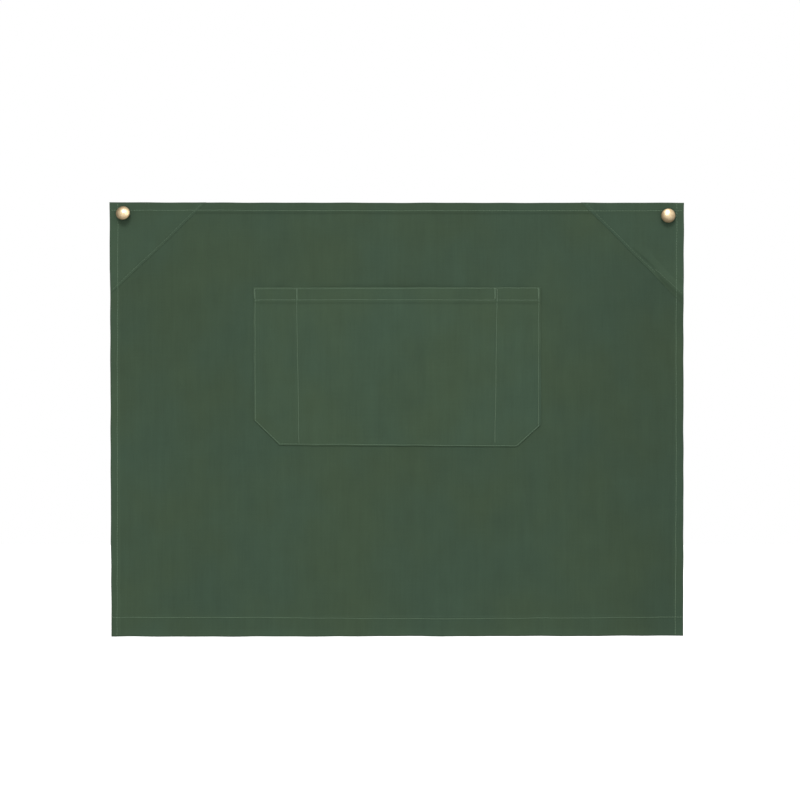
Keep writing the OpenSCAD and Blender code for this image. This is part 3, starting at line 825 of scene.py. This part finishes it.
class Thread:
    """Collects stitches into one mesh."""

    def __init__(self, seed):
        self.co, self.faces, self.rng = [], [], np.random.default_rng(seed)

    def tube(self, centre, normal_y, lateral, half_w, half_t):
        """centre: n points of (x, y, z). The section is 6-sided, wide along lateral and thin along Y."""
        n = len(centre)
        base = sum(len(c) for c in self.co)
        a = np.arange(6) * TAU / 6
        ring = []
        for i in range(n):
            k = 0.72 if i in (0, n - 1) else 1.0
            off = (
                np.cos(a)[:, None] * lateral[i][None, :] * half_w * k
                + np.sin(a)[:, None] * np.array([[0.0, normal_y, 0.0]]) * half_t * k
            )
            ring.append(centre[i][None, :] + off)
        self.co.append(np.concatenate(ring))
        f = []
        for i in range(n - 1):
            for j in range(6):
                b0, b1 = base + 6 * i + j, base + 6 * i + (j + 1) % 6
                f.append((b0, b1, b1 + 6, b0 + 6))
        f.append(tuple(base + j for j in range(5, -1, -1)))
        f.append(tuple(base + 6 * (n - 1) + j for j in range(6)))
        self.faces += f

    def seam(self, path, surface, facing, pitch=2.9, skip=None, half_w=0.29, half_t=0.20, wander=0.0, start=0.0, end=0.0, sink=0.0):
        """Stitches along the path, on surface(x, z), standing towards facing: -1 front, 1 back."""
        total, at = along(path)
        n = max(1, round((total - start - end) / pitch))
        pitch = (total - start - end) / n
        drift_phase = self.rng.uniform(0, TAU)
        for i in range(n):
            s0, s1 = start + i * pitch + 0.20, start + (i + 1) * pitch - 0.20
            s0 += self.rng.normal(0, 0.05)
            s1 += self.rng.normal(0, 0.05)
            ts = s0 + (s1 - s0) * np.array([0, 0.10, 0.30, 0.5, 0.70, 0.90, 1.0])
            p = at(np.clip(ts, 0, total))
            if skip is not None and skip(p[:, 0], p[:, 1]).any():
                continue
            d = p[-1] - p[0]
            d = d / max(np.hypot(*d), 1e-9)
            lat2 = np.array([-d[1], d[0]])
            off = self.rng.normal(0, 0.05) + wander * math.sin(s0 / 47 + drift_phase)
            skew = np.linspace(-0.07, 0.07, len(ts)) + off
            p = p + lat2[None, :] * skew[:, None]
            h = np.array([-0.22, 0.05, 0.17, 0.20, 0.17, 0.05, -0.22]) - sink
            y = surface(p[:, 0], p[:, 1]) + facing * h
            x2, z2 = lay_out(p[:, 0], p[:, 1])
            centre = np.stack([x2, y, z2], -1)
            lateral = np.repeat(np.array([[lat2[0], 0.0, lat2[1]]]), len(ts), 0)
            self.tube(centre, facing, lateral, half_w, half_t)

    def bartack(self, x, z_top, z_bot, surface, facing, width=1.6):
        """Three long stitches, then a close zigzag over them."""
        for dx in (-0.35, 0.0, 0.35):
            z = np.linspace(z_top, z_bot, 7)
            xx = np.full(7, x + dx)
            h = np.array([-0.2, 0.06, 0.10, 0.10, 0.10, 0.06, -0.2])
            y = surface(xx, z) + facing * h
            x2, z2 = lay_out(xx, z)
            self.tube(np.stack([x2, y, z2], -1), facing, np.repeat([[1.0, 0.0, 0.0]], 7, 0), 0.17, 0.13)
        n = 24
        for i in range(n):
            za = z_top - (z_top - z_bot) * (i + 0.2) / n
            zb = z_top - (z_top - z_bot) * (i + 0.8) / n
            if i % 2:
                za, zb = zb, za
            j = self.rng.normal(0, 0.05)
            xx = x + np.array([-0.5, -0.38, 0, 0.38, 0.5]) * width + j
            z = np.linspace(za, zb, 5)
            h = np.array([-0.15, 0.30, 0.46, 0.30, -0.15])
            y = surface(np.full(5, x), z) + facing * h
            x2, z2 = lay_out(xx, z)
            self.tube(np.stack([x2, y, z2], -1), facing, np.repeat([[0.0, 0.0, 1.0]], 5, 0), 0.17, 0.14)

    def make(self, name, material=None):
        return orient(make_object(name, np.concatenate(self.co), self.faces, material or mat_thread))


def under_button(x, z):
    out = np.zeros(x.shape, bool)
    for b_ in (LB, RB):
        out |= np.hypot(x - b_[0], z - b_[2]) < 4.6
    return out


SIDES = ((outer_front, -1), (outer_back, 1))
seams = {}


def add_seam(node, seed, build, end_rule=None):
    th = Thread(seed)
    for surface, facing in SIDES:
        build(th, surface, facing)
    seams[node] = th.make(node + "_thread")


add_seam("top_hem_stitching", 101, lambda th, s, f: th.seam([(-HW + 1.2, -TOP_SEAM), (HW - 1.2, -TOP_SEAM)], s, f, skip=under_button, wander=0.12))
down_z = np.linspace(-1.4, -H + 1.4, 12)
across_x = np.linspace(-HW + 1.2, HW - 1.2, 40)
left_run = list(zip(-HW + left_seam(down_z), down_z))
right_run = list(zip(HW - right_seam(down_z), down_z))
low_run = list(zip(across_x, -H + bottom_seam(across_x)))
add_seam("left_hem_stitching", 102, lambda th, s, f: th.seam(left_run, s, f, skip=under_button, wander=0.15))
add_seam("right_hem_stitching", 103, lambda th, s, f: th.seam(right_run, s, f, skip=under_button, wander=0.15))
add_seam("bottom_hem_stitching", 104, lambda th, s, f: th.seam(low_run, s, f, wander=0.2))


def patch_path(side, k0=0.0, k1=1.0, offset=(0.0, 0.0)):
    """Points of a patch's seam between two fractions of its length, shifted inwards by an offset that changes evenly."""
    top_len, down = PATCH[side]
    n = math.hypot(top_len, down)
    pts = []
    for q in np.linspace(n * k0, n * k1, 60):
        ins = float(patch_seam_in(side, np.array(q))) + 0.15 * math.sin(q / 17)
        ins += offset[0] + (offset[1] - offset[0]) * (q / n - k0) / (k1 - k0)
        x = HW - top_len + (top_len * q + ins * down) / n
        z = (-down * q + ins * top_len) / n
        if z < -1.0 and x < HW - 1.0:
            pts.append((side * x, z))
    return pts


add_seam("left_patch_stitching", 105, lambda th, s, f: th.seam(patch_path(-1), s, f, half_w=0.19, half_t=0.17, wander=0.1, sink=0.14))


def right_patch_seams(th, surface, facing):
    """Sewn in two goes, which don't quite meet."""
    th.seam(patch_path(1, 0.0, 0.36, (0.7, -0.8)), surface, facing, half_w=0.16, half_t=0.17, sink=0.17)
    th.seam(patch_path(1, 0.36, 0.71, (-0.8, -2.0)), surface, facing, half_w=0.13, half_t=0.16, sink=0.20)
    th.seam(patch_path(1, 0.69, 1.0, (0.3, 1.0)), surface, facing, half_w=0.18, half_t=0.18, sink=0.11)


add_seam("right_patch_stitching", 106, right_patch_seams)


def both(th, path, **kw):
    for surface, facing in SIDES:
        th.seam(path, surface, facing, **kw)


def pocket_seam(node, seed, path, **kw):
    th = Thread(seed)
    through = kw.pop("through", True)
    th.seam(path, outer_front, -1, **kw)
    if through:
        th.seam(path, outer_back, 1, **kw)
    seams[node] = th.make(node + "_thread")


pocket_seam("pocket_mouth_edge_stitching", 107, [(PX0 + 1.6, PZT - 1.7), (0, PZT - 1.6), (PX1 - 1.6, PZT - 0.8)], through=False, wander=0.08)
pocket_seam("pocket_mouth_hem_stitching", 108, [(PX0 + 1.0, PZT - MOUTH_SEAM - 0.1), (PX1 - 1.0, PZT - MOUTH_SEAM - 0.1)], through=False, wander=0.1)
EI, EL, ER = EDGE_SEAM - 0.1, 1.35, 2.5  # in from the left edge, from the bottom, from the right edge
L1 = (PX0 + EI, PZL + CUT_L - EI * 0.41)
L2 = (PX0 + CUT_L + EL * 0.41, PZL + EL)
R1 = (PX1 - ER, PZL - PSLOPE + CUT_R * CUT_R_K - ER * 0.41)
R2 = (PX1 - CUT_R - EL * 0.41, PZL - PSLOPE + EL)
pocket_seam(
    "pocket_edge_stitching",
    109,
    [(PX0 + EI, PZT - 1.6), L1, L2, R2, R1, (PX1 - ER + 0.5, PZT - 1.6)],
    wander=0.08,
)
zz = np.linspace(PZT - 1.6, PZL + 2.2, 40)
pocket_seam("left_divider_stitching", 110, [(float(div_l(np.array(z))), z) for z in zz], wander=0.12)
pocket_seam("right_divider_stitching", 111, [(float(div_r(np.array(z))), z) for z in zz], wander=0.12)
th = Thread(112)
for x in TACKS:
    th.bartack(x, PZT - 1.2, PZT - 12.2, outer_front, -1)
    th.bartack(x, PZT - 1.2, PZT - 12.2, outer_back, 1)
seams["pocket_bartacks"] = th.make("pocket_bartacks_thread", mat_tack_thread)


# ---------------------------------------------------------------- buttons
def arc(cx, cy, r, a0, a1, n):
    return [(cx + r * math.cos(math.radians(a)), cy + r * math.sin(math.radians(a))) for a in np.linspace(a0, a1, n)]


def lathe(name, profile, material, place, wear_of, seg=112):
    """A closed ring or solid turned about +Z from (radius, height) points, in mm, then placed by a matrix in metres."""
    prof = np.array(profile)
    on_axis_start, on_axis_end = prof[0][0] < 1e-6, prof[-1][0] < 1e-6
    co, rows_, wear_v = [], [], []
    for i, (r_, h_) in enumerate(prof):
        if r_ < 1e-6:
            rows_.append([len(co)] * seg)
            co.append((0.0, 0.0, h_))
            wear_v.append(wear_of(r_, h_))
        else:
            rows_.append(list(range(len(co), len(co) + seg)))
            for k in range(seg):
                a = TAU * k / seg
                co.append((r_ * math.cos(a), r_ * math.sin(a), h_))
                wear_v.append(wear_of(r_, h_))
    faces = []
    pairs = list(zip(rows_[:-1], rows_[1:]))
    if not (on_axis_start and on_axis_end):
        pairs.append((rows_[-1], rows_[0]))
    for a, b in pairs:
        for k in range(seg):
            k2 = (k + 1) % seg
            f = [a[k], a[k2], b[k2], b[k]]
            f = [v for j, v in enumerate(f) if v not in f[:j]]
            if len(f) > 2:
                faces.append(f)
    o = make_object(name, np.array(co), faces, material)
    set_values(o, "wear", wear_v)
    o.data.transform(place)
    return orient(o)


def upright(pos_mm):
    return Matrix.Translation(Vector(pos_mm) * MM) @ Matrix.Rotation(math.pi / 2, 4, "X")


def tilted(pos_mm, axis, degrees):
    return (
        Matrix.Translation(Vector(pos_mm) * MM)
        @ Matrix.Rotation(math.radians(degrees), 4, Vector(axis))
        @ Matrix.Rotation(math.pi / 2, 4, "X")
    )


HEAD_R, DOME_H, RIM_TOP, RIM_LOW = 7.5, 3.0, -0.3, -2.1
DOME_R = (HEAD_R**2 + DOME_H**2) / (2 * DOME_H)
DOME_C = RIM_TOP + DOME_H - DOME_R


def cap_profile():
    """Outside of the dome, round the shoulder and the rim, under the crimped lip and back up inside."""
    fr = 1.35  # shoulder
    # circle of radius fr that touches the dome from inside and the upright side
    cx = HEAD_R - fr
    cy = DOME_C + math.sqrt((DOME_R - fr) ** 2 - cx**2)
    a_touch = math.degrees(math.atan2(cy - DOME_C, cx))
    out = []
    for a in np.linspace(90, a_touch, 26)[:-1]:
        out.append((DOME_R * math.cos(math.radians(a)), DOME_C + DOME_R * math.sin(math.radians(a))))
    out[0] = (0.0, DOME_C + DOME_R)
    out += arc(cx, cy, fr, a_touch, 0, 12)
    out += [(HEAD_R, -0.95)]
    low_r = 0.62
    out += arc(HEAD_R - low_r, RIM_LOW + low_r, low_r, 0, -90, 10)
    out += [(6.55, RIM_LOW)]
    out += arc(6.42, RIM_LOW + 0.12, 0.12, -90, -270, 5)
    out += [(7.02, RIM_LOW + 0.27)]
    inner = DOME_R - 0.35
    top_a = math.degrees(math.acos(6.9 / inner))
    out += [(7.12, -1.2), (7.12, DOME_C + math.sqrt(inner**2 - 7.12**2))]
    for a in np.linspace(top_a, 90, 14):
        out.append((inner * math.cos(math.radians(a)), DOME_C + inner * math.sin(math.radians(a))))
    out[-1] = (0.0, DOME_C + inner)
    return out


def cap_wear(r_, h_):
    crown = 1 - sstep(2.0, 7.4, np.array(r_))
    under = 1 - sstep(-1.2, -0.2, np.array(h_))
    return float(np.clip(0.45 + 0.55 * crown - 0.55 * under, 0, 1))


def tack_profile():
    y = -5.0 - 2 * T - 0.1
    out = [(0.0, y - 0.86)]
    out += [(1.6, y - 0.85), (2.9, y - 0.80)]
    out += arc(3.95, y - 0.28, 0.5, -75, 0, 8)
    out += [(4.47, y - 0.1), (4.36, y), (0.0, y)]
    return out


left_cap = lathe("left_button_dome", cap_profile(), mat_cap, tilted(LB, joint["left_button_tilt"]["axis"], -18), cap_wear)
right_cap = lathe("right_button_dome", cap_profile(), mat_cap, upright(RB), cap_wear)

for side in ("left", "right"):
    for part, mat in (("shank", mat_brass), ("back_plate", mat_brass), ("core", mat_core), ("tack", mat_tack)):
        o = frame["nodes"][f"{side}_button_{part}"]
        o.data.materials.clear()
        o.data.materials.append(mat)

# ---------------------------------------------------------------- what rides on what
for o, node in ((panel, "apron_panel"), (pocket, "pocket"), (left_patch, "left_corner_patch"), (right_patch, "right_corner_patch")):
    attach(o, "root")
    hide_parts(node)
for node, o in seams.items():
    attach(o, "root")
    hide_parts(node)
for o, body, node in ((left_cap, "left_head", "left_button_cap"), (right_cap, "right_head", "right_button_cap")):
    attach(o, body)
    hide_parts(node)

# ---------------------------------------------------------------- stage
floor_me = bpy.data.meshes.new("floor")
floor_me.from_pydata([(-9, -9, 0), (9, -9, 0), (9, 9, 0), (-9, 9, 0)], [], [(0, 1, 2, 3)])
floor = bpy.data.objects.new("floor", floor_me)
floor.location = (0, 0, -0.70)
bpy.context.scene.collection.objects.link(floor)
m, nt, bsdf = shader("pale_floor")
bsdf.inputs["Base Color"].default_value = (0.93, 0.93, 0.925, 1)
bsdf.inputs["Emission Color"].default_value = (1, 1, 1, 1)
bsdf.inputs["Emission Strength"].default_value = 0.2
bsdf.inputs["Roughness"].default_value = 0.8
bsdf.inputs["Specular IOR Level"].default_value = 0.2
floor_me.materials.append(m)
floor.visible_diffuse = False
floor.visible_glossy = False

world = bpy.data.worlds.new("studio")
bpy.context.scene.world = world
world.use_nodes = True
nt = world.node_tree
nt.nodes.clear()
out = nt.nodes.new("ShaderNodeOutputWorld")
bg = nt.nodes.new("ShaderNodeBackground")
nt.links.new(bg.outputs[0], out.inputs[0])
tc = nt.nodes.new("ShaderNodeTexCoord")
dot = nt.nodes.new("ShaderNodeVectorMath")
dot.operation = "DOT_PRODUCT"
nt.links.new(tc.outputs["Generated"], dot.inputs[0])
dot.inputs[1].default_value = Vector((-0.04, -0.72, 0.69)).normalized()
ramp = nt.nodes.new("ShaderNodeMapRange")
ramp.interpolation_type = "SMOOTHSTEP"
ramp.inputs["From Min"].default_value = -0.45
ramp.inputs["From Max"].default_value = 0.80
ramp.inputs["To Min"].default_value = 0.16
ramp.inputs["To Max"].default_value = 0.98
nt.links.new(dot.outputs["Value"], ramp.inputs["Value"])
# and a weaker one behind, so that the back isn't in the dark
behind = nt.nodes.new("ShaderNodeVectorMath")
behind.operation = "DOT_PRODUCT"
nt.links.new(tc.outputs["Generated"], behind.inputs[0])
behind.inputs[1].default_value = Vector((0.05, 0.82, 0.57)).normalized()
b_ramp = nt.nodes.new("ShaderNodeMapRange")
b_ramp.interpolation_type = "SMOOTHSTEP"
b_ramp.inputs["From Min"].default_value = 0.05
b_ramp.inputs["From Max"].default_value = 0.95
b_ramp.inputs["To Min"].default_value = 0.16
b_ramp.inputs["To Max"].default_value = 1.25
nt.links.new(behind.outputs["Value"], b_ramp.inputs["Value"])
both_ways = nt.nodes.new("ShaderNodeMath")
both_ways.operation = "MAXIMUM"
nt.links.new(ramp.outputs[0], both_ways.inputs[0])
nt.links.new(b_ramp.outputs[0], both_ways.inputs[1])
# what polished metal mirrors: a light room in front, darker overhead
gloss = nt.nodes.new("ShaderNodeVectorMath")
gloss.operation = "DOT_PRODUCT"
nt.links.new(tc.outputs["Generated"], gloss.inputs[0])
gloss.inputs[1].default_value = Vector((0.16, -0.80, 0.50)).normalized()
g_ramp = nt.nodes.new("ShaderNodeMapRange")
g_ramp.interpolation_type = "SMOOTHSTEP"
g_ramp.inputs["From Min"].default_value = -0.02
g_ramp.inputs["From Max"].default_value = 1.0
g_ramp.inputs["To Min"].default_value = 0.24
g_ramp.inputs["To Max"].default_value = 0.98
nt.links.new(gloss.outputs["Value"], g_ramp.inputs["Value"])
path = nt.nodes.new("ShaderNodeLightPath")
g_mix = nt.nodes.new("ShaderNodeMix")
g_mix.data_type = "FLOAT"
nt.links.new(path.outputs["Is Glossy Ray"], g_mix.inputs["Factor"])
nt.links.new(both_ways.outputs[0], g_mix.inputs["A"])
nt.links.new(g_ramp.outputs[0], g_mix.inputs["B"])
mixer = nt.nodes.new("ShaderNodeMix")
mixer.data_type = "FLOAT"
nt.links.new(path.outputs["Is Camera Ray"], mixer.inputs["Factor"])
nt.links.new(g_mix.outputs[0], mixer.inputs["A"])
mixer.inputs["B"].default_value = 1.0
nt.links.new(mixer.outputs[0], bg.inputs["Strength"])
bg.inputs["Color"].default_value = (1.0, 1.0, 1.0, 1.0)

sun_data = bpy.data.lights.new("key", "SUN")
sun_data.energy = 1.45
sun_data.angle = math.radians(20)
sun_data.specular_factor = 0.1
sun = bpy.data.objects.new("key", sun_data)
bpy.context.scene.collection.objects.link(sun)
az, el = math.radians(-5), math.radians(46)
to_light = Vector((math.sin(az) * math.cos(el), -math.cos(az) * math.cos(el), math.sin(el)))
sun.rotation_mode = "QUATERNION"
sun.rotation_quaternion = to_light.to_track_quat("Z", "Y")
sun.location = to_light * 3

# a softbox in front of the middle, which only the polished brass picks up
box_data = bpy.data.lights.new("softbox", "AREA")
box_data.shape = "RECTANGLE"
box_data.size, box_data.size_y = 0.38, 0.60
box_data.energy = 1.35
box = bpy.data.objects.new("softbox", box_data)
bpy.context.scene.collection.objects.link(box)
box.location = (0.12, -0.50, 0.34)
box.rotation_mode = "QUATERNION"
box.rotation_quaternion = (box.location - Vector((0, 0, -0.01))).to_track_quat("Z", "Y")
box.visible_camera = False
box.visible_diffuse = False

cam_data = bpy.data.cameras.new("camera")
cam = bpy.data.objects.new("camera", cam_data)
bpy.context.scene.collection.objects.link(cam)
cam_data.sensor_width = 36
distance = 4.0
cam_data.lens = 36 * distance / 0.8383
cam.location = (0.00314, -distance, -0.2065)
cam.rotation_euler = (math.pi / 2, 0, 0)
cam_data.clip_start, cam_data.clip_end = 0.05, 60
bpy.context.scene.camera = cam

scene = bpy.context.scene
scene.view_settings.view_transform = "Standard"
scene.view_settings.look = "None"
scene.view_settings.exposure = 0
scene.view_settings.gamma = 1
